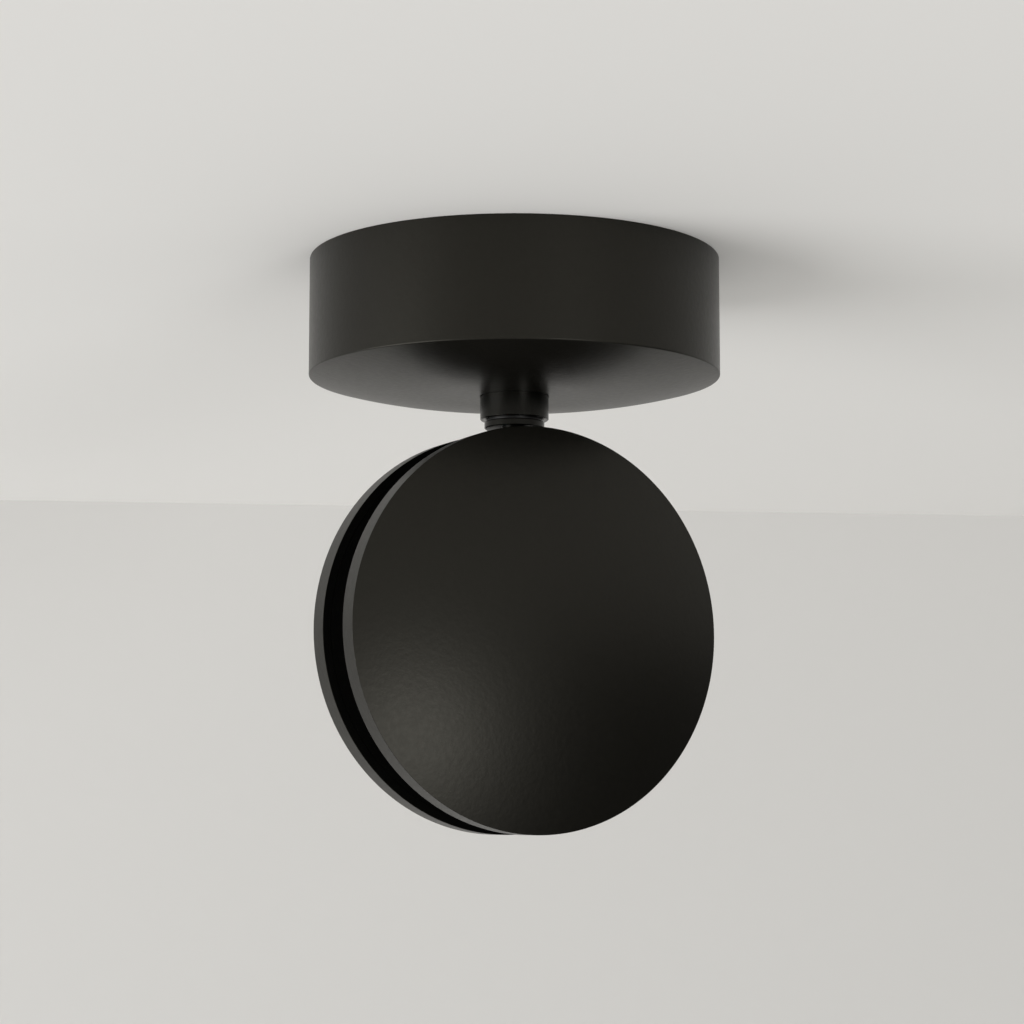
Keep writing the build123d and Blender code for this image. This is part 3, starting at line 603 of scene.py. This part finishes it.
def stage_material(name, code):
    """Pale matt paint that is seen from one side only and clears where the sheet's fade is 1."""
    material = bpy.data.materials.new(name)
    material.use_nodes = True
    tree = material.node_tree
    shader = tree.nodes["Principled BSDF"]
    shader.inputs["Base Color"].default_value = linear(code)
    shader.inputs["Roughness"].default_value = paint_roughness
    clear = put(tree, "ShaderNodeBsdfTransparent")
    behind = put(tree, "ShaderNodeNewGeometry").outputs["Backfacing"]
    faded = put(tree, "ShaderNodeAttribute", attribute_name="fade").outputs["Fac"]
    share = put(tree, "ShaderNodeMath", {0: behind, 1: faded}, operation="MAXIMUM")
    mixed = put(tree, "ShaderNodeMixShader", {
        0: share.outputs[0], 1: shader.outputs[0], 2: clear.outputs[0],
    })
    tree.links.new(mixed.outputs[0], tree.nodes["Material Output"].inputs["Surface"])
    return material


def stage_sheet(name, grid, fade, material):
    """A sheet through a grid of points, each with its fade."""
    rows, columns = grid.shape[:2]
    index = np.arange(rows * columns).reshape(rows, columns)
    quads = np.stack([index[:-1, :-1], index[1:, :-1], index[1:, 1:], index[:-1, 1:]], axis=-1)
    sheet = smooth_object(name, grid.reshape(-1, 3), quads.reshape(-1, 4).tolist(), material)
    fading = sheet.data.attributes.new("fade", "FLOAT", "POINT")
    fading.data.foreach_set("value", np.ravel(fade).astype(np.float32))
    return sheet


def ease(distance, solid, reach):
    """Fade of a sheet: 0 up to a distance, then s squared times (3 - 2 s) up to 1 at its end."""
    share = np.clip((distance - solid) / (reach - solid), 0, 1)
    return share ** 2 * (3 - 2 * share)


# The ceiling is rings of points, reach * (cos(t), sin(t)), from the canopy's wall outwards
hole_radius = canopy_radius - canopy_wall / 2
turn = np.linspace(2 * pi, 0, turn_steps + 1)
reach = np.geomspace(hole_radius, ceiling_reach, ceiling_rings)
ceiling = np.stack(np.broadcast_arrays(
    reach[:, None] * np.cos(turn), reach[:, None] * np.sin(turn), np.zeros((1, 1))), axis=-1)
ceiling_fade = np.broadcast_to(ease(reach, ceiling_solid, ceiling_reach)[:, None], ceiling.shape[:2])
stage_sheet("ceiling", ceiling, ceiling_fade, stage_material("ceiling_paint", "#efeeec"))

# The wall is a plane of points, wall top + across * side - down * up, below the ceiling
wall_side = np.array(photo_right * cos(wall_turn) + photo_away * sin(wall_turn))
wall_top = np.array(photo_away * wall_distance)
across = np.linspace(wall_reach, -wall_reach, wall_columns)[:, None]
down = np.linspace(0, wall_reach, wall_rows)[None, :]
wall = wall_top + across[..., None] * wall_side - down[..., None] * np.array((0, 0, 1.0))
side_fade, foot_fade = ease(np.abs(across), wall_solid, wall_reach), ease(down, wall_solid, wall_reach)
wall_fade = 1 - (1 - side_fade) * (1 - foot_fade)
stage_sheet("wall", wall, wall_fade, stage_material("wall_paint", "#d8d7d5"))


def heading(azimuth, elevation):
    """Direction from the object, by degrees. The azimuth runs to the right from the camera's side."""
    side, level = radians(azimuth), radians(elevation)
    return (photo_right * sin(side) - photo_away * cos(side)) * cos(level) + Vector((0, 0, sin(level)))


def soft_lamp(name, azimuth, elevation, radius, radiance):
    """A round soft lamp aimed at the head, whose watts are its radiance times pi times its area."""
    direction = heading(azimuth, elevation)
    data = bpy.data.lights.new(name, "AREA")
    data.shape = "DISK"
    data.size = 2 * radius
    data.energy = radiance * pi * (pi * radius ** 2)
    lamp = bpy.data.objects.new(name, data)
    lamp.location = direction * lamp_distance + Vector((0, 0, head_centre.z))
    lamp.rotation_euler = direction.to_track_quat("Z", "Y").to_euler()
    lamp.visible_camera = False
    bpy.context.scene.collection.objects.link(lamp)


# A dark flag low on the right, which only reflections meet
flag_way = heading(flag_azimuth, flag_elevation)
flag_across = np.array(flag_way.cross(Vector((0, 0, 1))).normalized())
flag_up = np.cross(flag_across, np.array(flag_way))
spread = np.linspace(-flag_half, flag_half, 3)
flag = np.array(flag_way) * flag_distance
flag = flag + spread[:, None, None] * flag_across + spread[None, :, None] * flag_up
flag_sheet = stage_sheet("flag", flag, np.zeros(flag.shape[:2]), stage_material("flag_cloth", "#202020"))
flag_sheet.visible_camera = False
flag_sheet.visible_diffuse = False
flag_sheet.visible_shadow = False

# A broad lamp low on the left and a smaller one behind the camera on the right, in an even surround
soft_lamp("key", azimuth=-65, elevation=-20, radius=1.3, radiance=3.0)
soft_lamp("fill", azimuth=30, elevation=-15, radius=0.48, radiance=5.2)
world = bpy.data.worlds.new("surround")
world.use_nodes = True
bpy.context.scene.world = world
background = world.node_tree.nodes["Background"]
background.inputs["Color"].default_value = linear(surround)

# Camera
camera_data = bpy.data.cameras.new("camera")
camera_data.lens = camera_lens
camera_data.sensor_width = camera_sensor
camera_data.clip_start = camera_near
camera = bpy.data.objects.new("camera", camera_data)
camera.location = photo_right * camera_side - photo_away * camera_distance + Vector((0, 0, camera_height))
look = photo_away * cos(camera_pitch) + Vector((0, 0, sin(camera_pitch)))
camera.rotation_euler = look.to_track_quat("-Z", "Y").to_euler()
bpy.context.scene.collection.objects.link(camera)
bpy.context.scene.camera = camera
bpy.context.scene.view_settings.view_transform = "Standard"
